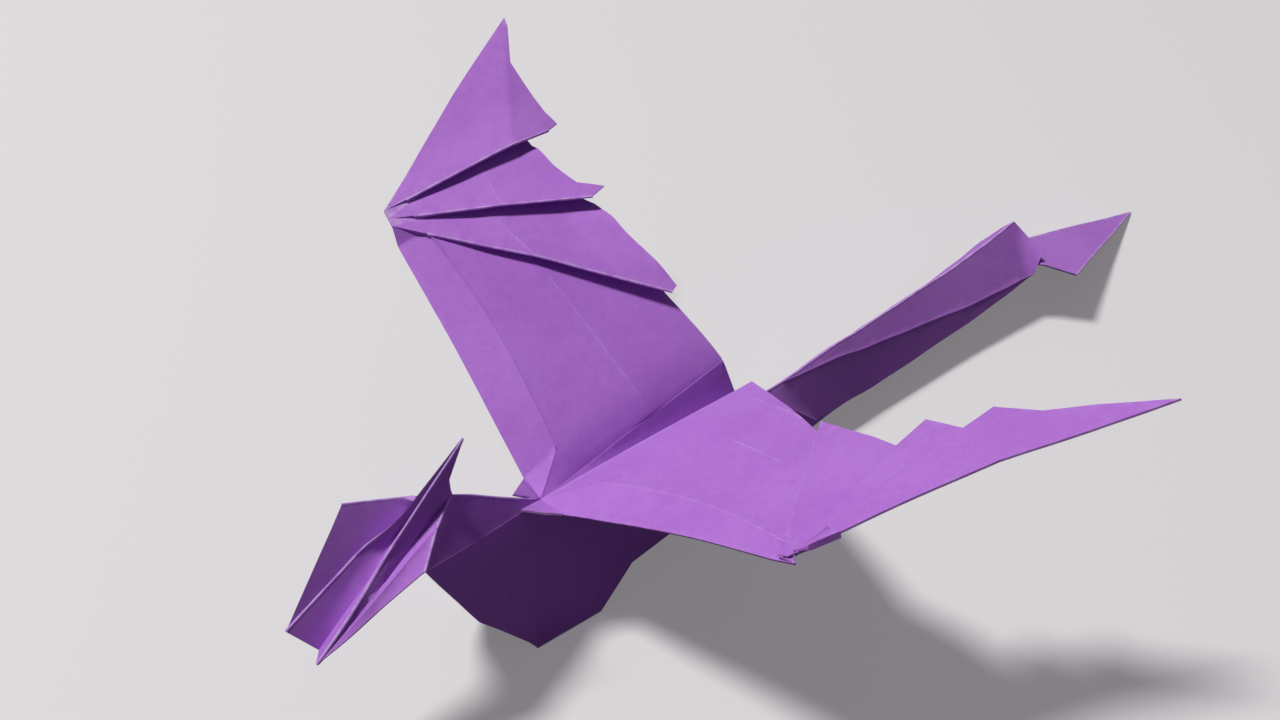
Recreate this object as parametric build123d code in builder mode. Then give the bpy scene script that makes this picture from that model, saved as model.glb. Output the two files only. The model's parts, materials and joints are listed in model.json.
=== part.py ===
"""Dragon folded from one square sheet of paper, resting on its belly folds and its arrowhead.

Millimetres. +X runs from head to tail, +Y to the dragon's right wing, +Z up. The sheet is modelled
at the middle of its thickness as flat facets that meet at folds. The facets get the thickness of the
pressed layers, every fold gets a rounded back, and all of it is one solid.
"""

import os
from math import cos, radians, sin, tan

from build123d import *

# Paper
wall = 0.3  # two or three pressed layers
fold_radius = 0.19  # rounded back of a fold
stack = 0.9  # pleats pressed together at each wrist
stack_shares = ((0.01, 0.01), (0.17, 0.01), (0.01, 0.13))  # corners, of last ridge and wing's point

# Spine and wing roots
spine_height = 22.0  # front end of the spine above the table
spine_length = 36.0
spine_pitch = 5.0  # degrees, tail end lower
root_length = 34.8  # front of the spine to the rear corner of a wing root
root_half_width = 3.0  # half of the groove between the wings, at its rear
root_rise = 0.6  # rear corner of a wing root above the front of the spine

# Wings
wing_rise = 29.4  # degrees above level
wrist_sweep = 8.5  # wrist behind the front of the root, along the root
wrist_span = 43.3  # wrist from the root line
hem_fold = 20.0  # degrees that the leading hem is bent down
hem_front_shares = (0.175, 0.09)  # front end of the hem's crease, of root length and wrist span
lead_front_share = 0.085  # front end of the bent leading edge, of the line from the spine to the wrist
pleat_lift = 1.8  # ridge of a pleat above the wing's plane, at its free end
pleat_dip = 0.3  # valley of a pleat below it
pleat_turn = 8.0  # degrees from a ridge out to the valley tucked under it
fan_start_share = 0.12  # rounded folds of a fan start this far out from the wrist

# Fan of each wing, inner pleat first. Apexes step back from the wrist along the leading edge.
# Ridges and the wing's point are angles from the root line, in degrees, and reaches of the wrist
# span from the wrist. Corners of the free edges are shares of the two folds beside them.
right_hem_share = 0.145  # where the hem's crease meets the first valley, of the valley's length
right_lead_share = 0.89  # outer end of the bent leading edge
right_apex_shares = (0.055, 0.028, 0.0)
right_ridge_angles = (-52.0, -30.4, -5.7)
right_ridge_shares = (0.933, 0.667, 0.637)
right_valley_shares = (0.785, 0.657, 0.575)
right_edge_shares = (((0.97, 0.07), (0.5, 0.5)), ((0.99, 0.12), (0.8, 0.2), (0.52, 0.46)))
right_point_angle = 23.9
right_point_share = 0.87
right_trail_shares = ((1.04, 0.03), (0.88, 0.15), (0.31, 0.63), (0.08, 0.92))
right_front_shares = ((-0.02, 0.6),)
left_hem_share = 0.11
left_lead_share = 1.02
left_apex_shares = (0.03, 0.015, 0.0)
left_ridge_angles = (-42.5, -13.5, -2.1)
left_ridge_shares = (0.637, 0.633, 0.752)
left_valley_shares = (0.508, 0.522, 0.718)
left_edge_shares = (((0.52, 0.5),), ((0.55, 0.44),))
left_point_angle = 18.8
left_point_share = 1.097
left_trail_shares = ((0.65, 0.31), (0.42, 0.57))
left_front_shares = ((0.154, 0.45),)

# Neck and head
neck_reach = 13.2  # bend of the neck, ahead of the spine
neck_height = 33.6
hood_reach = 22.3
hood_half_width = 5.8
hood_height = 31.7
hood_turn = 1.7  # the head leans to the left: right corner of the hood ahead of its mean place
hood_shift = 0.8  # further out
hood_roll = 2.1  # and higher, left corner the other way
hood_crown = 0.7  # crease across the left half of the hood, above the straight rear edge
jaw_reach = 35.8
jaw_half_width = 2.4
jaw_height = 22.8
jaw_turn = 0.4
jaw_roll = 1.1
snout_reach = 33.6  # front end of the groove between the jaws
snout_height = 20.3
horn_reach = 10.5
horn_height = 41.1
collar_share = 0.3  # loose tips of the wing roots, along the neck
right_collar_width = 0.3
right_collar_lift = 0.5
left_collar_width = 1.2
left_collar_lift = -1.3

# Body
chest_reach = 5.6
chest_half_width = 4.9
chest_bulge_shares = (0.55, 0.55)
belly_run = 4.9  # rear end of the edge that the body rests on, behind the front of the spine
belly_half_width = 5.8
flank_shares = ((0.21, 0.79), (1.29, 0.6))  # lower edge of the flank, of spine and belly fold

# Tail
crimp_run = 44.0  # where the tail's ridge starts, below the rear of the spine
crimp_height = 14.2
tail_run = 95.0
tail_height = 16.3
tail_foot_run = 95.7
tail_foot_height = 8.6
tail_half_width = 5.2
tail_end_shares = (0.28, 0.78)
barb_root_share = 0.78  # where the arrowhead's ridge leaves the tail's ridge, of the ridge's length
barb_neck_shares = (0.05, 0.63)
right_barb_run = 108.4  # this barb hangs down to the table
right_barb_width = 4.6
left_barb_run = 104.1
left_barb_width = 7.8
left_barb_height = 5.0
point_run = 129.6
point_lean = 0.9  # tip of the arrowhead towards the left wing

right = 1
left = -1


def mix(corner, first, second, shares):
    """Point in the plane of three corners, by shares of the two edges that leave the first corner."""
    return corner + (first - corner) * shares[0] + (second - corner) * shares[1]


# Points on the middle line
pitch = radians(spine_pitch)
spine_front = Vector(0, 0, spine_height)
spine_rear = spine_front + Vector(cos(pitch), 0, -sin(pitch)) * spine_length
neck_top = Vector(-neck_reach, 0, neck_height)
snout = Vector(-snout_reach, 0, snout_height)
horn = Vector(-horn_reach, 0, horn_height)
crimp = Vector(crimp_run, 0, crimp_height)
tail_end = Vector(tail_run, 0, tail_height)
barb_root = crimp + (tail_end - crimp) * barb_root_share
point = Vector(point_run, -point_lean, 0)

facets = []  # corners of each flat facet
stacks = []  # corners of each stack of pressed pleats
folds = []  # two ends of each fold


def fold_body(side, barb):
    """Neck, body, tail and half of the arrowhead of one side."""
    hood_width = hood_half_width + side * hood_shift
    hood = Vector(-hood_reach - side * hood_turn, side * hood_width, hood_height + side * hood_roll)
    chest = Vector(-chest_reach, side * chest_half_width, 0)
    belly = Vector(belly_run, side * belly_half_width, 0)
    flank, tail_start = [mix(spine_front, spine_rear, belly, shares) for shares in flank_shares]
    tail_foot = Vector(tail_foot_run, side * tail_half_width, tail_foot_height)
    tail_corner = mix(crimp, tail_end, tail_foot, tail_end_shares)
    facets.append([spine_front, neck_top, hood])
    facets.append([spine_front, hood, mix(spine_front, hood, chest, chest_bulge_shares), chest])
    facets.append([spine_front, chest, belly])
    facets.append([spine_front, belly, flank, tail_start, spine_rear])
    facets.append([spine_rear, tail_start, crimp])
    facets.append([crimp, tail_start, tail_foot])
    facets.append([crimp, tail_foot, tail_corner, tail_end])
    facets.append([barb_root, mix(barb_root, point, barb, barb_neck_shares), barb, point])
    folds.extend([(spine_front, hood), (spine_front, chest), (spine_front, belly), (chest, belly)])
    folds.extend([(spine_rear, tail_start), (crimp, tail_start), (crimp, tail_foot), (barb, point)])
    folds.append((neck_top, hood))
    return hood


def fold_head(side, hood):
    """One half of the hood, with the half of the horn that is folded back over it."""
    jaw = Vector(-jaw_reach - side * jaw_turn, side * jaw_half_width, jaw_height + side * jaw_roll)
    if side == left:
        brow = (neck_top + hood) / 2 + Vector(0, 0, hood_crown)
        facets.append([neck_top, brow, jaw])
        facets.append([brow, hood, jaw])
        folds.extend([(neck_top, brow), (brow, hood), (brow, jaw)])
    else:
        facets.append([neck_top, hood, jaw])
    facets.append([horn, jaw, neck_top])
    facets.append([horn, jaw, snout])
    folds.extend([(neck_top, jaw), (horn, jaw)])


def fold_wing(side, hem, apex_shares, ridge_angles, ridge_shares, valley_shares, edge_shares, tip):
    """One wing: groove wall, collar, inner panel, leading hem, and a fan of pleats around the wrist."""
    hem_share, lead_share, collar_width, collar_lift = hem
    root_rear = spine_front + Vector(root_length, side * root_half_width, root_rise)
    chord = (root_rear - spine_front).normalized()
    rise = Vector(0, side * cos(radians(wing_rise)), sin(radians(wing_rise)))
    span = (rise - chord * rise.dot(chord)).normalized()
    upward = chord.cross(span) * side

    def at(run, out, lift=0):
        return spine_front + chord * run + span * out + upward * lift

    def ray(angle, share, lift):
        reach = share * wrist_span
        turn = radians(angle)
        return at(wrist_sweep + reach * cos(turn), wrist_span + reach * sin(turn), lift)

    wrist = at(wrist_sweep, wrist_span)
    apexes = [wrist + (spine_front - wrist) * share for share in apex_shares]
    ridges = [ray(angle, share, pleat_lift) for angle, share in zip(ridge_angles, ridge_shares)]
    dips = [0] + [pleat_dip] * (len(ridges) - 1)
    turned_angles = [angle + pleat_turn for angle in ridge_angles]
    valleys = [ray(angle, share, -dip) for angle, share, dip in zip(turned_angles, valley_shares, dips)]

    hem_front = at(hem_front_shares[0] * root_length, hem_front_shares[1] * wrist_span)
    hem_wrist = apexes[0] + (valleys[0] - apexes[0]) * hem_share
    crease = (hem_wrist - hem_front).normalized()

    def bent(share):
        flat = spine_front + (wrist - spine_front) * share
        across = flat - hem_front
        across = across - crease * across.dot(crease)
        return flat - upward * across.length * tan(radians(hem_fold))

    lead_front, lead_wrist = bent(lead_front_share), bent(lead_share)
    collar = spine_front + (neck_top - spine_front) * collar_share
    collar = collar + Vector(0, side * collar_width, collar_lift)

    facets.append([spine_front, root_rear, spine_rear])
    facets.append([spine_front, root_rear, valleys[0], hem_wrist, hem_front])
    facets.append([hem_front, hem_wrist, lead_wrist, lead_front])
    facets.append([apexes[0], hem_wrist, lead_wrist])
    facets.append([spine_front, hem_front, lead_front])
    facets.append([spine_front, lead_front, collar])
    folds.extend([(spine_front, root_rear), (spine_front, hem_front), (hem_front, hem_wrist)])
    folds.extend([(hem_front, lead_front), (hem_wrist, lead_wrist), (apexes[0], hem_wrist)])

    # A pleat goes back under its own ridge, and a sector runs from a ridge out to the next valley
    for apex, valley, ridge in zip(apexes, valleys, ridges):
        facets.append([apex, valley, ridge])
        folds.extend([(apex + (end - apex) * fan_start_share, end) for end in (valley, ridge)])
    for inner in range(len(ridges) - 1):
        apex, next_apex = apexes[inner : inner + 2]
        ridge, valley = ridges[inner], valleys[inner + 1]
        edge = [mix(apex, ridge, valley, shares) for shares in edge_shares[inner]]
        facets.append([apex, ridge, *edge, valley])
        facets.append([apex, valley, next_apex])

    point_angle, point_share, trail_shares, front_shares = tip
    wing_point = ray(point_angle, point_share, 0)
    trail = [mix(wrist, ridges[-1], wing_point, shares) for shares in trail_shares]
    front = [mix(wrist, ridges[-1], wing_point, shares) for shares in front_shares]
    facets.append([wrist, ridges[-1], *trail, wing_point, *front])
    stacks.append([mix(wrist, ridges[-1], wing_point, shares) for shares in stack_shares])


right_barb = Vector(right_barb_run, right_barb_width, 0)
left_barb = Vector(left_barb_run, -left_barb_width, left_barb_height)
right_hem = (right_hem_share, right_lead_share, right_collar_width, right_collar_lift)
left_hem = (left_hem_share, left_lead_share, left_collar_width, left_collar_lift)
right_fan = (right_hem, right_apex_shares, right_ridge_angles, right_ridge_shares)
right_tip = (right_point_angle, right_point_share, right_trail_shares, right_front_shares)
left_fan = (left_hem, left_apex_shares, left_ridge_angles, left_ridge_shares)
left_tip = (left_point_angle, left_point_share, left_trail_shares, left_front_shares)

for side, barb in ((right, right_barb), (left, left_barb)):
    fold_head(side, fold_body(side, barb))
fold_wing(right, *right_fan, right_valley_shares, right_edge_shares, right_tip)
fold_wing(left, *left_fan, left_valley_shares, left_edge_shares, left_tip)

# Folds on the middle line
folds.extend([(spine_front, neck_top), (spine_front, spine_rear), (spine_rear, crimp), (crimp, tail_end)])
folds.extend([(barb_root, point), (neck_top, horn), (snout, horn)])


def facet_plane(corners):
    """Plane of a facet, from its first three corners."""
    edge = corners[1] - corners[0]
    return Plane(origin=corners[0], x_dir=edge, z_dir=edge.cross(corners[2] - corners[0]))


with BuildPart() as sheet:
    for layers, thickness in ((facets, wall), (stacks, stack)):
        for corners in layers:
            plane = facet_plane(corners)
            with BuildSketch(plane.offset(-thickness / 2)):
                with BuildLine():
                    Polyline(*[plane.to_local_coords(corner) for corner in corners], close=True)
                make_face()
        extrude(amount=thickness)
    backs = []
    for start, end in folds:
        with BuildSketch(Plane(origin=start, z_dir=end - start), mode=Mode.PRIVATE) as section:
            Circle(fold_radius)
        backs.append(extrude(section.sketch, amount=(end - start).length, mode=Mode.PRIVATE))
    add(backs)

# Origin in the middle of the sheet's box, at its underside
box = sheet.part.bounding_box()
with BuildPart() as folded_dragon:
    with Locations((-box.center().X, -box.center().Y, -box.min.Z)):
        add(sheet.part)

os.makedirs("parts", exist_ok=True)
folded_dragon.part.label = "folded_dragon"
export_step(folded_dragon.part, "parts/folded_dragon.step")
print("box", box.size, "low corner", box.min, "volume", folded_dragon.part.volume)
print("solids", len(folded_dragon.solids()), "centre", folded_dragon.part.center(CenterOf.MASS))
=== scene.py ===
"""Looks of the folded paper dragon: soft purple paper, pale along its folds from rubbing and a painted
highlight, on a pale floor.

Metres, in the part's own frame: +X from head to tail, +Y to the dragon's right wing, +Z up.
"""

import json
from math import cos, degrees, exp, pi, radians, sin, tan

import bmesh
import bpy
from mathutils import Matrix, Vector, kdtree, noise

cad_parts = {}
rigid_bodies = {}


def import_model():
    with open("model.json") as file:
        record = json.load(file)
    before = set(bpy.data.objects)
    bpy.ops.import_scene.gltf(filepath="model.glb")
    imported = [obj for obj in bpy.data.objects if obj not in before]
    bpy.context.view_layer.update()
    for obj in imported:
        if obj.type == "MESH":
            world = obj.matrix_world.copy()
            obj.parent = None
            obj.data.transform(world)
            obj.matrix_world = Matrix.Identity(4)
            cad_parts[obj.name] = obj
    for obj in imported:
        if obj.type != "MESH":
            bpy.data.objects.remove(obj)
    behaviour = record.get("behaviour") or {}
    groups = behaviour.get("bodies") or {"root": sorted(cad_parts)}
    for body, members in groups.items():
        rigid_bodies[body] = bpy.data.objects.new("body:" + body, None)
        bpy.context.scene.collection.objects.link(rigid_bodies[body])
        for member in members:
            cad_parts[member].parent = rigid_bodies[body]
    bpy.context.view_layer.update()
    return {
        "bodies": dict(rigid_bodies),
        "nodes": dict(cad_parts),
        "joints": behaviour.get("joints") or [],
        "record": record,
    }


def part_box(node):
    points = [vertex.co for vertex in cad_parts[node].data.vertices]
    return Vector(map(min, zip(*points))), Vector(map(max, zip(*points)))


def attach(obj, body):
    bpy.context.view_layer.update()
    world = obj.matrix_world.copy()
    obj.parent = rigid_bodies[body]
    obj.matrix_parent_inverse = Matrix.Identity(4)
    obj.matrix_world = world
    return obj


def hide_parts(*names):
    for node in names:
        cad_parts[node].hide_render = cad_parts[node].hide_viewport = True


mm = 0.001
right = 1
left = -1

# Wings as they are folded
spine_front = Vector((-46.68, 0.47, 22.19)) * mm
root_rear = Vector((34.8, 3.0, 0.6)) * mm  # from the front of the spine, right wing
wing_rise = radians(29.4)
wing_span = 44 * mm  # root to wrist
wing_depth = 4.5 * mm  # paper this far off a wing's plane still follows the wing
wing_front = -1 * mm

# Mesh
merge_gap = 0.002 * mm
flat_angle = radians(0.6)
strip_width = 0.5 * mm  # a face narrower than this lies along a fold or a cut edge
strip_side = 1.0 * mm  # shorter sides are the ends of a strip
grid_pitch = 1.15 * mm
sharp_angle = radians(32)
soft_fold = radians(35)  # the paper only bends here
fully_pale_fold = radians(80)  # from here on a fold is pale along all its length, partly from rubbing and partly as a painted highlight
soft_rounds = 14  # of smoothing
soft_factor = 0.5
soft_shift = 0.12 * mm  # no point of a softened fold moves further
paper_half = 0.15 * mm  # half of the wall

# Paper that is not quite flat
warp_seed = 11  # the same waves in every run
warp_size = 0.28 * mm
warp_length = 19 * mm
ripple_size = 0.03 * mm
ripple_length = 5 * mm
rest_height = 2.5 * mm  # nothing moves where the paper meets the table
panel_bow = {right: 1.1 * mm, left: 0.5 * mm}  # a wing is steeper at its root
bow_scale = 27 / 4  # brings the top of share * (1 - share) ** 2 to one
hem_bow = {right: 0.9 * mm, left: 2.0 * mm}  # the hem's crease is not straight
hem_ends = {
    right: (Vector((6.1, 3.9)) * mm, Vector((11.6, 37.8)) * mm),
    left: (Vector((6.1, 3.9)) * mm, Vector((10.3, 40.8)) * mm),
}
hem_blend = 5 * mm

# Right wing rolls over into the groove between the wings
groove_width = 4.44 * mm  # root to spine, at the rear
groove_slope = 0.4  # of a wall, against its wing
root_roll = 1.0 * mm
root_reach = 6 * mm  # across the wing
root_blend = 0.7 * mm  # half width of the rounded root
roll_start = (0, 0.25)  # shares of the root's length, from its front, between which the roll starts
roll_fade = (0.8, 1)  # and between which it fades
roll_loss = 0.6  # share of it that fades
roll_end = 1.05  # nothing further back moves
wall_slack = 0.45 * mm  # paper this far off the middle of a groove's wall still is the wall

# Ridges of the right wing's pleats, which stand a little more open than flat folds do
pleat_ridges = (
    (Vector((8.0, 40.9)) * mm, Vector((33.4, 11.5)) * mm),
    (Vector((8.3, 42.1)) * mm, Vector((33.4, 28.7)) * mm),
    (Vector((8.5, 43.3)) * mm, Vector((35.9, 40.6)) * mm),
)
pleat_lift = 1.8 * mm
pleat_open = 0.6 * mm
pleat_blend = 6 * mm
pleat_foot = 0.2  # share of a ridge's height below which nothing moves
pleat_low = 0.1  # the height at the wrist, as a share of the height at the free end
pleat_full = 0.5  # share of a ridge's length where the pleat stands fully open
pleat_past = 1.1  # share of that length where the pleat ends
wrist_reach = 7 * mm  # pleats pressed together at the wrist show no step

# Layer under the right wing's second pleat, tucked back so that it does not look out behind
tucked_end = Vector((34.2, 31.4, -0.3)) * mm
tuck = 2.4 * mm
tuck_reach = 3.6 * mm
tuck_top = 0.7 * mm

# Creases left from folding, on each wing: run and reach of both ends, height and half width of the ridge
wing_creases = {
    right: (
        (Vector((20.8, 1.0)) * mm, Vector((21.0, 23.5)) * mm, 0.16 * mm, 4 * mm),
        (Vector((20.7, 25.0)) * mm, Vector((20.5, 33.5)) * mm, 0.14 * mm, 3 * mm),
        (Vector((22.0, 35.0)) * mm, Vector((23.3, 39.0)) * mm, 0.12 * mm, 3 * mm),
    ),
    left: (
        (Vector((21.7, 14.0)) * mm, Vector((21.3, 25.5)) * mm, 0.14 * mm, 4 * mm),
        (Vector((31.0, 6.0)) * mm, Vector((30.0, 19.0)) * mm, 0.1 * mm, 3 * mm),
    ),
}
crease_width = 0.22 * mm
cut_reach = 3.45 * mm  # only faces this near a crease are divided along it
root_line = (Vector((0.5, 0.1)) * mm, Vector((33.0, 0.1)) * mm)  # pale along the left wing's root, partly from rubbing and partly as a painted highlight

# Corners of the right wing's pleats that are bent along a line: its ends, the turn in degrees, and the
# directions from the wrist between which the bend starts and ends
wrist = Vector((8.5, 43.3)) * mm
wing_point = Vector((42.9, 58.4)) * mm
bent_corners = (
    (Vector((29.5, 41.4)) * mm, Vector((38.6, 53.0)) * mm, -13, (-10, -6), (60, 70)),
    (Vector((28.2, 12.0)) * mm, Vector((29.2, 30.0)) * mm, 10, (-52, -46), (-36, -31)),
)

# Folds that are less pale than the others, from less rubbing and less painted highlight: wing, both ends,
# and what is left of the pale mark
faint_folds = (
    (right, Vector((0, 0)) * mm, Vector((34.9, 0)) * mm, 0),
    (left, Vector((8.2, 42.6)) * mm, Vector((28.9, 24.7)) * mm, 0.55),
    (left, Vector((8.4, 43.0)) * mm, Vector((35.2, 36.9)) * mm, 0.12),
    (left, Vector((8.5, 43.3)) * mm, Vector((41.0, 42.1)) * mm, 0.12),
)
faint_reach = 0.6 * mm

# Small crumples: wing, place on it, reach
crumples = (
    (right, Vector((7.0, 6.0)) * mm, 6 * mm),
    (left, Vector((5.0, 4.5)) * mm, 5 * mm),
)
crumple_size = 0.3 * mm
crumple_length = 3.2 * mm

# Tail's ridge against a straight line: place behind the front of the spine, and lift
tail_waves = ((44, 0), (54, 0.4), (61, -0.4), (70, -0.9), (80.6, -1.2), (88, -0.7), (95, 0))
tail_half = 9 * mm
tail_top = -3 * mm  # below the front of the spine

# Arrowhead's left half is spread: root of its ridge, slope of the ridge, place and lift of the barb's point
barb_root = Vector((83.8, 0, -6.2)) * mm
barb_slope = 0.02
barb_width = 7.4 * mm
barb_neck = (94 * mm, 99 * mm)
barb_spread = Vector((-5.2, -3.0, 5.0)) * mm

# Spine sags between the wings, most at its rear end: places behind its front and below it
spine_rear = Vector((35.86, 0, -3.14)) * mm
crimp = Vector((44.0, 0, -7.8)) * mm
spine_sag = 5.0 * mm
sag_depth = 10 * mm  # the body follows as far down as this
sag_side = 0.4 * mm

# Horn is pinched together above the hood: place of its left edge, and the heights between which it closes
horn_tip = Vector((-10.5, 0, 19.1)) * mm
horn_foot = Vector((-35.4, -2.4, -0.3)) * mm
horn_close = (9 * mm, 13.5 * mm)
horn_pinch = 0.75
horn_half = 3 * mm

# Blade of the horn is hollow behind, and its left wall flares out where it meets the hood
neck_top = Vector((-13.2, 0, 11.6)) * mm
blade_hollow = 0.5
blade_turn = 1.7 * mm  # length over which the hollow starts
blade_gap = 0.4 * mm
flare = Vector((0, -0.9, 0.6)) * mm
flare_reach = 2.8 * mm

# Right corner of the hood stands up more than the left one
hood_corner = Vector((-24.0, 6.6, 11.8)) * mm
hood_raise = Vector((-0.8, -1.8, 2.3)) * mm
hood_over = 1.1  # paper past the corner follows it as far as this
hood_rear = (2 * mm, 9 * mm)  # ahead of the front of the spine
hood_low = (-14 * mm, 1.5 * mm)

# Pale marks, partly from rubbing and partly a painted highlight: beside folds marked high, and at the tips,
# which are given by wing, place on it in mm, and reach
wear_and_highlight_reach = 0.8 * mm
worn_and_highlit_mark = 0.6  # a fold marked less gets no pale band of rubbing and painted highlight beside it
fold_wear_and_highlight = 0.5
tip_wear_and_highlight = 2
worn_and_highlit_tips = (
    (right, (8.5, 43.3), 1.1 * mm),
    (right, (42.9, 58.4), 1.0 * mm),
    (right, (36.4, 29.2), 0.8 * mm),
    (left, (8.0, 44.0), 0.9 * mm),
    (left, (53.4, 58.4), 1.0 * mm),
)

# Paper: colours, noises as features per metre, detail and roughness, and what they do
paper_purple = (0.47, 0.2, 0.65, 1)
paper_deep = (0.42, 0.155, 0.6, 1)
# Colour of the pale marks: rubbing of folds, creases, tips and cut edges, and a painted highlight along
# them
paper_pale = (0.62, 0.4, 0.77, 1)
cloud_noise = (55, 2, 0.5)
mottle_noise = (650, 3, 0.6)
fibre_noise = (3000, 3, 0.7)
noise_ends = (0.36, 0.64)  # values between which a noise goes from one colour to the other
cloud_tone = 0.4
mottle_tone = 0.25
fibre_tone = 0.35
edge_pale = (0.3, 0.3)  # how pale folds and cut edges get, from rubbing and a painted highlight, where the patchy noise is high, and everywhere
# Next two: the same for the pale band beside folds and at tips, and for the creases; also partly painted
# highlight
wear_and_highlight_pale = (0.3, 0.1)
crease_pale = (0.15, 0.28)
paper_roughness = 0.6
fibre_roughness = 0.2
fibre_bump = 0.6
mottle_bump = 0.4
bump_strength = 0.18
bump_depth = 0.1 * mm
paper_specular = 0.12
paper_sheen = 0.03
sheen_roughness = 0.5

# Camera of the photograph
camera_place = Vector((-123.59, -108.38, 180.32)) * mm
camera_pitch = radians(45.0056)
camera_heading = radians(40.777)
camera_lens = 45
camera_sensor = 36
camera_near = 0.01

# Floor and light
floor_half = 3.0
floor_pale = (0.74, 0.73, 0.72, 1)
floor_glow = 0.25  # share of it that shadows and distance leave pale
floor_dim = (0.1, 0.08, 0.11, 1)  # what the floor throws back on the paper
sky_pale = (0.82, 0.82, 0.84, 1)
sky_dim = (0.09, 0.068, 0.12, 1)
key_strength = 20
key_size = 0.24
key_distance = 1.5
key_place = Vector((-0.3, 0.27, 0.915)) * key_distance


class Shade:
    """A socket of a material's node tree, with the arithmetic that the paper needs."""

    def __init__(self, tree, socket=None):
        self.tree = tree
        self.socket = socket

    def node(self, kind, settings, inputs, result=0):
        """Adds a node: its settings first, then the values or links of its sockets."""
        made = self.tree.nodes.new(kind)
        for name, value in settings.items():
            setattr(made, name, value)
        for name, value in inputs.items():
            if isinstance(value, Shade):
                self.tree.links.new(value.socket, made.inputs[name])
            else:
                made.inputs[name].default_value = value
        return Shade(self.tree, made.outputs[result] if made.outputs else None)

    def maths(self, operation, other):
        return self.node("ShaderNodeMath", {"operation": operation}, {0: self, 1: other})

    def __add__(self, other):
        return self.maths("ADD", other)

    __radd__ = __add__

    def __mul__(self, other):
        return self.maths("MULTIPLY", other)

    __rmul__ = __mul__

    def clear(self, low, high):
        """Zero below low, one above high, and smooth between them."""
        ends = {"Value": self, "From Min": low, "From Max": high}
        return self.node("ShaderNodeMapRange", {"interpolation_type": "SMOOTHSTEP"}, ends)

    def colours(self, low, high):
        """From one colour to another by this value."""
        ends = {"Factor": self, 6: low, 7: high}
        return self.node("ShaderNodeMix", {"data_type": "RGBA"}, ends, 2)


def paper_material():
    """Dyed craft paper: fibres, faint clouds of colour, and pale marks on folds, creases, tips and cut
    edges, partly from rubbing and partly a painted highlight.
    """
    material = bpy.data.materials.new("purple_paper")
    material.use_nodes = True
    tree = material.node_tree
    tree.nodes.clear()
    start = Shade(tree)
    place = start.node("ShaderNodeTexCoord", {}, {}, "Object")

    def grain(per_metre, detail, roughness):
        inputs = {"Vector": place, "Scale": per_metre, "Detail": detail, "Roughness": roughness}
        return start.node("ShaderNodeTexNoise", {"noise_dimensions": "3D"}, inputs)

    def mark(name):
        return start.node("ShaderNodeAttribute", {"attribute_name": name}, {}, "Fac")

    clouds = grain(*cloud_noise)
    mottle = grain(*mottle_noise)
    fibres = grain(*fibre_noise)
    patchy_pale = mottle.clear(*noise_ends)

    def worn_and_highlit(name, more, everywhere):
        return mark(name) * (patchy_pale * more + everywhere)

    tone = clouds * cloud_tone + mottle * mottle_tone + fibres * fibre_tone
    dyed = tone.clear(*noise_ends).colours(paper_deep, paper_purple)
    # Pale marks: partly rubbing and creasing of the paper, partly a painted highlight on folds, edges,
    # creases and tips.
    pale = worn_and_highlit("edge", *edge_pale) + worn_and_highlit("wear_and_highlight", *wear_and_highlight_pale) + worn_and_highlit("crease", *crease_pale)
    colour = pale.clear(0, 1).colours(dyed, paper_pale)
    roughness = paper_roughness + fibres * fibre_roughness
    height = fibres * fibre_bump + mottle * mottle_bump
    relief = {"Height": height, "Strength": bump_strength, "Distance": bump_depth}
    bump = start.node("ShaderNodeBump", {}, relief)
    surface = start.node(
        "ShaderNodeBsdfPrincipled",
        {},
        {
            "Base Color": colour,
            "Roughness": roughness,
            "Normal": bump,
            "Specular IOR Level": paper_specular,
            "Sheen Weight": paper_sheen,
            "Sheen Roughness": sheen_roughness,
        },
    )
    start.node("ShaderNodeOutputMaterial", {}, {"Surface": surface})
    return material


def seen(start):
    """One where the camera looks, also by way of a gloss, and zero for light that goes on to the paper."""
    kinds = ("Is Camera Ray", "Is Glossy Ray", "Is Transmission Ray")
    first, second, third = [start.node("ShaderNodeLightPath", {}, {}, kind) for kind in kinds]
    return first + second + third


def floor_material():
    """Plain pale floor that throws little light back under the wings."""
    material = bpy.data.materials.new("pale_floor")
    material.use_nodes = True
    tree = material.node_tree
    tree.nodes.clear()
    start = Shade(tree)
    dim = start.node("ShaderNodeBsdfDiffuse", {}, {"Color": floor_dim})
    lit = start.node("ShaderNodeBsdfDiffuse", {}, {"Color": floor_pale})
    glow = start.node("ShaderNodeEmission", {}, {"Color": floor_pale})
    pale = start.node("ShaderNodeMixShader", {}, {0: floor_glow, 1: lit, 2: glow})
    surface = start.node("ShaderNodeMixShader", {}, {0: seen(start), 1: dim, 2: pale})
    start.node("ShaderNodeOutputMaterial", {}, {"Surface": surface})
    return material


def studio_sky():
    """Soft light from all around, pale where it is seen."""
    world = bpy.data.worlds.new("studio")
    world.use_nodes = True
    tree = world.node_tree
    tree.nodes.clear()
    start = Shade(tree)
    dim = start.node("ShaderNodeBackground", {}, {"Color": sky_dim})
    pale = start.node("ShaderNodeBackground", {}, {"Color": sky_pale})
    surface = start.node("ShaderNodeMixShader", {}, {0: seen(start), 1: dim, 2: pale})
    start.node("ShaderNodeOutputWorld", {}, {"Surface": surface})
    return world


def wing_frame(side):
    """Axes of a wing: along its root, out to its wrist, and up from its face."""
    chord = Vector((root_rear.x, side * root_rear.y, root_rear.z)).normalized()
    rise = Vector((0, side * cos(wing_rise), sin(wing_rise)))
    span = (rise - chord * rise.dot(chord)).normalized()
    up = chord.cross(span) * side
    frame = Matrix((chord, span, up)).transposed().to_4x4()
    frame.translation = spine_front
    return frame


def smooth_step(low, high, value):
    share = min(max((value - low) / (high - low), 0), 1)
    return share * share * (3 - 2 * share)


def off_line(place, start, end):
    """Distance of a place from a stretch of line."""
    along = end - start
    share = min(max((place - start).dot(along) / along.length_squared, 0), 1)
    return (place - start - along * share).length


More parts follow.
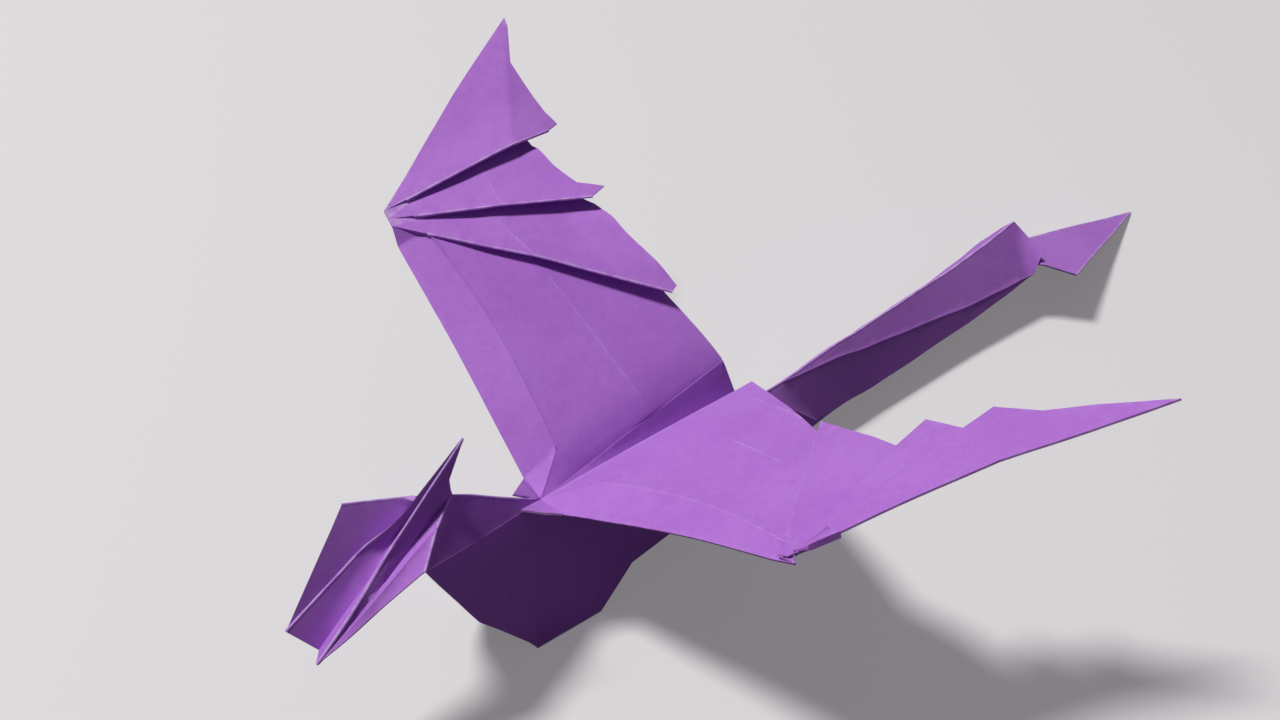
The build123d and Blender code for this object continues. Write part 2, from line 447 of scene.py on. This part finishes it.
def is_narrow(face):
    longest = max(side.calc_length() for side in face.edges)
    return face.calc_area() < strip_width * longest


def beside_fold(face, narrow):
    """The broad faces on both sides of the narrow faces that lie side by side along one fold."""
    strip, beside, waiting = {face}, set(), [face]
    while waiting:
        for side in waiting.pop().edges:
            if side.calc_length() < strip_side:
                continue
            for other in side.link_faces:
                if other not in narrow:
                    beside.add(other)
                elif other not in strip:
                    strip.add(other)
                    waiting.append(other)
    return beside


def sharpest_turn(faces):
    """Largest angle by which the paper turns away between two faces, zero in a hollow."""
    turn = 0
    faces = list(faces)
    for index, first in enumerate(faces):
        for second in faces[index + 1 :]:
            across = second.calc_center_median() - first.calc_center_median()
            angle = first.normal.angle(second.normal, 0)
            if across.dot(first.normal) < 0 and across.dot(second.normal) > 0:
                turn = max(turn, angle)
    return turn


def widest_turn(faces):
    """Largest angle between two faces, also in a hollow."""
    faces = list(faces)
    pairs = [(first, second) for index, first in enumerate(faces) for second in faces[index + 1 :]]
    return max([first.normal.angle(second.normal, 0) for first, second in pairs], default=0)


def mark_folds(sheet):
    """Face attributes: edge, how pale a fold or a cut edge is from rubbing and a painted highlight, and
    soft, where the paper only bends.
    """
    edge = sheet.faces.layers.float.new("edge")
    soft = sheet.faces.layers.float.new("soft")
    narrow = {face for face in sheet.faces if is_narrow(face)}
    for face in narrow:
        beside = beside_fold(face, narrow)
        face[edge] = smooth_step(soft_fold, fully_pale_fold, sharpest_turn(beside))
        face[soft] = float(widest_turn(beside) < soft_fold)


def cut(sheet, faces, place, normal):
    corners = {corner for face in faces for corner in face.verts}
    sides = {side for face in faces for side in face.edges}
    part = [*corners, *sides, *faces]
    bmesh.ops.bisect_plane(sheet, geom=part, dist=merge_gap, plane_co=place, plane_no=normal)


def divide(sheet, low, high):
    """A fine grid across the flat facets, so that they can bend."""
    for axis in range(3):
        normal = Vector((0, 0, 0))
        normal[axis] = 1
        steps = int((high[axis] - low[axis]) / grid_pitch)
        for step in range(1, steps + 1):
            place = Vector(low) + normal * step * grid_pitch
            everything = sheet.verts[:] + sheet.edges[:] + sheet.faces[:]
            bmesh.ops.bisect_plane(sheet, geom=everything, dist=merge_gap, plane_co=place, plane_no=normal)


def on_wing(local):
    return local.y > 0 and local.x > wing_front and abs(local.z) < wing_depth


def cut_creases(sheet, side):
    """Lines across the mesh along a wing's creases, one in the middle and one on each side of it."""
    frame = wing_frame(side)
    inverse = frame.inverted()
    turn = frame.to_3x3()
    lines = [(start, end, (-crease_width, 0, crease_width)) for start, end, _, _ in wing_creases[side]]
    if side == right:
        lines.extend((start, end, (0,)) for start, end, *_ in bent_corners)
    else:
        lines.append((*hem_ends[side], (-crease_width, crease_width)))
    for start, end, offsets in lines:
        along = (end - start).normalized()
        across = Vector((along.y, -along.x, 0))
        for offset in offsets:
            corners = [(face, inverse @ face.verts[0].co) for face in sheet.faces]
            near = [
                face for face, local in corners
                if on_wing(local) and off_line(local.xy, start, end) < cut_reach
            ]
            cut(sheet, near, frame @ (start.to_3d() + across * offset), turn @ across)


def mark_creases(sheet, side):
    """Vertex attribute crease is one along the creases, which are painted pale: partly a crease mark in the
    paper, partly a painted highlight.
    """
    crease = sheet.verts.layers.float["crease"]
    inverse = wing_frame(side).inverted()
    lines = [(start, end) for start, end, _, _ in wing_creases[side]]
    if side == left:
        lines.extend((hem_ends[side], root_line))
    for corner in sheet.verts:
        local = inverse @ corner.co
        if on_wing(local):
            gap = min(off_line(local.xy, start, end) for start, end in lines)
            corner[crease] = max(corner[crease], 1 - min(1, gap / crease_width))


def soften(sheet):
    """Folds that only bend the paper lose their rounded backs."""
    edge = sheet.faces.layers.float["edge"]
    soft = sheet.faces.layers.float["soft"]
    bent = set()
    for face in sheet.faces:
        if face[soft] > 0:
            bent.update(near for corner in face.verts for side in corner.link_edges for near in side.verts)
    free = [corner for corner in bent if all(face[edge] == 0 for face in corner.link_faces)]
    places = [corner.co.copy() for corner in free]
    axes = {"use_axis_x": True, "use_axis_y": True, "use_axis_z": True}
    for _ in range(soft_rounds):
        bmesh.ops.smooth_vert(sheet, verts=free, factor=soft_factor, **axes)
    for corner, place in zip(free, places):
        shift = corner.co - place
        corner.co = place + shift * min(1, soft_shift / max(shift.length, merge_gap))
    sheet.faces.layers.float.remove(soft)


def fade_folds(sheet):
    """Some folds are less pale: less rubbing and less painted highlight."""
    edge = sheet.faces.layers.float["edge"]
    for wing, start, end, left_over in faint_folds:
        inverse = wing_frame(wing).inverted()
        for face in sheet.faces:
            if face[edge] > 0:
                local = inverse @ face.calc_center_median()
                if abs(local.z) < wing_depth and off_line(local.xy, start, end) < faint_reach:
                    face[edge] *= left_over


def paint_wear_and_highlight(sheet):
    """Vertex attribute of pale marks, from rubbing and a painted highlight, fading from one at a sharply
    folded edge or a tip to zero a little way off.
    """
    edge = sheet.faces.layers.float["edge"]
    wear_and_highlight = sheet.verts.layers.float["wear_and_highlight"]
    worn_and_highlit = [
        corner.co.copy() for corner in sheet.verts
        if any(face[edge] > worn_and_highlit_mark for face in corner.link_faces)
    ]
    tree = kdtree.KDTree(len(worn_and_highlit))
    for index, place in enumerate(worn_and_highlit):
        tree.insert(place, index)
    tree.balance()
    for corner in sheet.verts:
        corner[wear_and_highlight] = fold_wear_and_highlight * exp(-((tree.find(corner.co)[2] / wear_and_highlight_reach) ** 2))
    for side, (run, out), reach in worn_and_highlit_tips:
        tip = wing_frame(side) @ (Vector((run, out, 0)) * mm)
        for corner in sheet.verts:
            near = exp(-(((corner.co - tip).length / reach) ** 2))
            corner[wear_and_highlight] = max(corner[wear_and_highlight], tip_wear_and_highlight * near)


def ridge(local, ridges):
    """Height of the low ridges at a place on a wing."""
    return sum(
        height * max(0, 1 - off_line(local.xy, start, end) / half) for start, end, height, half in ridges
    )


def corner_bend(local):
    """How far the bent corners of the right wing's pleats lie above the flat wing."""
    bend = 0
    direction = degrees((local.xy - wrist).angle_signed(Vector((1, 0)), 0))
    for start, end, turn, first, last in bent_corners:
        along = (end - start).normalized()
        beyond = (local.xy - start).dot(Vector((along.y, -along.x)))
        inside = smooth_step(*first, direction) * (1 - smooth_step(*last, direction))
        bend += max(0, beyond) * tan(radians(turn)) * inside
    return bend


def tuck_back(local):
    """Shift towards the wrist of the layer under the second pleat."""
    gap = (local - tucked_end).xy.length / tuck_reach
    if gap > 1 or local.z > tuck_top:
        return Vector((0, 0))
    return (wrist - local.xy).normalized() * tuck * (1 - gap * gap)


def wrist_top(local):
    """Height of the right wing's outermost pleat near the wrist."""
    ridge_end = pleat_ridges[-1][1]
    first, second, place = ridge_end - wrist, wing_point - wrist, local.xy - wrist
    share = place.cross(second) / first.cross(second)
    return pleat_lift * share + paper_half


def pleat_rise(local):
    """How much further the pleats of the right wing stand open."""
    rise = 0
    for start, end in pleat_ridges:
        along = end - start
        share = (local.xy - start).dot(along) / along.length_squared
        if 0 < share < pleat_past:
            height = min(max(local.z / (pleat_lift * max(share, pleat_low)), 0), 1)
            near = max(0, 1 - off_line(local.xy, start, end) / pleat_blend)
            opened = pleat_open * sin(pi * min(share, pleat_full))
            rise = max(rise, opened * smooth_step(pleat_foot, 1, height) * near)
    return rise


def bend_wing(sheet, side):
    """A wing's bow, curved hem crease, opened creases and pleats, crumples and bent corners."""
    frame = wing_frame(side)
    inverse = frame.inverted()
    hem_start, hem_end = hem_ends[side]
    for corner in sheet.verts:
        local = inverse @ corner.co
        if not on_wing(local):
            continue
        share = min(local.y / wing_span, 1)
        lift = panel_bow[side] * share * (1 - share) ** 2 * bow_scale
        lift += ridge(local, wing_creases[side])
        if side == right:
            if (local.xy - wrist).length < wrist_reach and local.x > wrist.x:
                local.z = min(local.z, wrist_top(local))
            lift += pleat_rise(local) + corner_bend(local)
            local.xy += tuck_back(local)
        for wing, place, reach in crumples:
            if wing == side:
                near = exp(-(((local.xy - place).length / reach) ** 2))
                lift += crumple_size * near * noise.noise(corner.co / crumple_length)
        along = min(max((local.y - hem_start.y) / (hem_end.y - hem_start.y), 0), 1)
        near_hem = max(0, 1 - off_line(local.xy, hem_start, hem_end) / hem_blend)
        local.x += hem_bow[side] * sin(pi * along) * near_hem
        local.z += lift
        corner.co = frame @ local


def roll_root(sheet):
    """The right wing has no sharp edge at its root."""
    frame = wing_frame(right)
    inverse = frame.inverted()
    for corner in sheet.verts:
        local = inverse @ corner.co
        run = local.x / root_rear.length
        if not 0 < run < roll_end or local.y > root_reach or abs(local.z) > wing_depth:
            continue
        roll = root_roll * smooth_step(*roll_start, run) * (1 - roll_loss * smooth_step(*roll_fade, run))
        if local.y > 0:
            drop = roll * (1 - local.y / root_reach) ** 2
        else:
            share = -local.y / (groove_width * run)
            if share > 1 or abs(local.z - groove_slope * local.y) > wall_slack:
                continue
            drop = roll * (1 - share * share)
        if abs(local.y) < root_blend:
            round_over = groove_slope * (root_blend - local.y) ** 2 / (4 * root_blend)
            local.z = min(local.z, paper_half - round_over)
        local.z -= drop
        corner.co = frame @ local


def tail_lift(run):
    """Lift of the tail's ridge at a place behind the front of the spine."""
    for (first, low), (second, high) in zip(tail_waves, tail_waves[1:]):
        if first <= run <= second:
            return low + (high - low) * smooth_step(first, second, run)
    return 0


def sag_spine(behind):
    """Drop of the spine between the wings, and of the paper that is folded to it."""
    if not 0 < behind.x < crimp.x:
        return Vector((0, 0, 0))
    if behind.x < spine_rear.x:
        share = behind.x / spine_rear.x
        level = spine_rear.z * share
        wall = (root_rear.z - spine_rear.z) * share
    else:
        share = (crimp.x - behind.x) / (crimp.x - spine_rear.x)
        level = crimp.z + (spine_rear.z - crimp.z) * share
        wall = root_rear.z - spine_rear.z
    over = behind.z - level
    if over > 0 and abs(behind.y) > root_rear.y * share + sag_side:
        return Vector((0, 0, 0))
    near = 1 - over / wall if over > 0 else 1 + over / sag_depth
    return Vector((0, 0, -spine_sag * share * max(0, near)))


def spread_barb(behind):
    """Shift of the arrowhead's left half, none at its ridge and most at the barb's point."""
    place = behind - barb_root
    share = max(0, (-place.y - barb_slope * place.x) / barb_width)
    return barb_spread * share * smooth_step(*barb_neck, behind.x)


def pinch_horn(behind):
    """Shift of the horn's right wall towards its left edge."""
    share = (behind.z - horn_foot.z) / (horn_tip.z - horn_foot.z)
    edge = horn_foot.lerp(horn_tip, share)
    over = behind.y - edge.y
    if behind.x > horn_tip.x or not 0 < over < horn_half:
        return Vector((0, 0, 0))
    return Vector((0, -over * horn_pinch * smooth_step(*horn_close, behind.z), 0))


def hollow_blade(behind):
    """Shift of the horn's rear edge, which makes the blade narrow above the hood."""
    along = (horn_tip - horn_foot).normalized()
    base = neck_top - horn_foot
    inward = (base - along * base.dot(along)).normalized()
    run = (behind - horn_foot).dot(along)
    out = (behind - horn_foot).dot(inward)
    length = (horn_tip - horn_foot).length
    start = base.dot(along)
    widest = base.dot(inward) * (length - run) / (length - start)
    if abs(behind.y) > horn_half or run < start or not 0 < out < widest + blade_gap:
        return Vector((0, 0, 0))
    return inward * -out * blade_hollow * smooth_step(start, start + blade_turn, run)


def flare_blade(behind):
    """Shift of the fold between the horn's left wall and the hood."""
    along = horn_foot - neck_top
    share = min(max((behind - neck_top).dot(along) / along.length_squared, 0), 1)
    gap = (behind - neck_top - along * share).length
    if behind.y > 0 or gap > flare_reach:
        return Vector((0, 0, 0))
    return flare * (1 - (gap / flare_reach) ** 2) ** 2 * sin(pi * share)


def raise_hood(behind):
    """Shift of the hood's right half, most at its corner."""
    ahead = min(max((neck_top.x - behind.x) / (neck_top.x - horn_foot.x), 0), 1)
    middle = -horn_foot.y * ahead
    out = min(max((behind.y - middle) / (hood_corner.y - middle), 0), hood_over)
    ahead_of_wing = smooth_step(*hood_rear, -behind.x)
    return hood_raise * out * ahead_of_wing * smooth_step(*hood_low, behind.z)


def bend_paper(sheet):
    """Low waves and a fine ripple all over, waves of the tail, and the set of arrowhead, horn and hood."""
    noise.seed_set(warp_seed)
    for corner in sheet.verts:
        free = smooth_step(0, rest_height, corner.co.z)
        warp = noise.noise_vector(corner.co / warp_length) * warp_size
        ripple = noise.noise_vector(corner.co / ripple_length) * ripple_size
        behind = corner.co - spine_front
        if abs(behind.y) < tail_half and behind.z < tail_top:
            warp.z += tail_lift(behind.x / mm) * mm
        corner.co += (warp + ripple) * free + spread_barb(behind)
        corner.co += pinch_horn(behind) + hollow_blade(behind) + flare_blade(behind) + raise_hood(behind)


def paper_dragon(node):
    """The folded sheet, from its CAD solid, as paper that bends a little and is pale at its folds from
    rubbing and a painted highlight.
    """
    sheet = bmesh.new()
    sheet.from_mesh(node.data)
    bmesh.ops.remove_doubles(sheet, verts=sheet.verts, dist=merge_gap)
    bmesh.ops.dissolve_limit(sheet, angle_limit=flat_angle, verts=sheet.verts, edges=sheet.edges)
    mark_folds(sheet)
    divide(sheet, *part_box(node.name))
    for name in ("wear_and_highlight", "crease"):
        sheet.verts.layers.float.new(name)
    for side in (right, left):
        cut_creases(sheet, side)
        mark_creases(sheet, side)
    soften(sheet)
    fade_folds(sheet)
    paint_wear_and_highlight(sheet)
    sags = [sag_spine(corner.co - spine_front) for corner in sheet.verts]
    roll_root(sheet)
    for side in (right, left):
        bend_wing(sheet, side)
    bend_paper(sheet)
    for corner, sag in zip(sheet.verts, sags):
        corner.co += sag
    for face in sheet.faces:
        face.smooth = True
    for side in sheet.edges:
        side.smooth = side.is_manifold and side.calc_face_angle() < sharp_angle
    mesh = bpy.data.meshes.new("paper_dragon")
    sheet.to_mesh(mesh)
    sheet.free()
    kept_normals = mesh.attributes.get("custom_normal")
    if kept_normals:
        mesh.attributes.remove(kept_normals)
    dragon = bpy.data.objects.new("paper_dragon", mesh)
    bpy.context.scene.collection.objects.link(dragon)
    return dragon


def floor():
    plane = bmesh.new()
    bmesh.ops.create_grid(plane, x_segments=1, y_segments=1, size=floor_half)
    mesh = bpy.data.meshes.new("floor")
    plane.to_mesh(mesh)
    plane.free()
    ground = bpy.data.objects.new("floor", mesh)
    bpy.context.scene.collection.objects.link(ground)
    ground.data.materials.append(floor_material())


def key_light():
    lamp = bpy.data.lights.new("key", "AREA")
    lamp.shape = "DISK"
    lamp.size = key_size
    lamp.energy = key_strength
    light = bpy.data.objects.new("key", lamp)
    light.location = key_place
    light.rotation_euler = (-key_place).to_track_quat("-Z", "Y").to_euler()
    bpy.context.scene.collection.objects.link(light)


def photo_camera():
    lens = bpy.data.cameras.new("camera")
    lens.lens = camera_lens
    lens.sensor_width = camera_sensor
    lens.sensor_fit = "HORIZONTAL"
    lens.clip_start = camera_near
    camera = bpy.data.objects.new("camera", lens)
    camera.location = camera_place
    camera.rotation_euler = (pi / 2 - camera_pitch, 0, -camera_heading)
    bpy.context.scene.collection.objects.link(camera)
    bpy.context.scene.camera = camera


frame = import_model()
dragon = paper_dragon(frame["nodes"]["folded_dragon"])
dragon.data.materials.clear()
dragon.data.materials.append(paper_material())
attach(dragon, "root")
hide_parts("folded_dragon")
floor()
key_light()
photo_camera()
bpy.context.scene.world = studio_sky()
bpy.context.scene.view_settings.view_transform = "Standard"
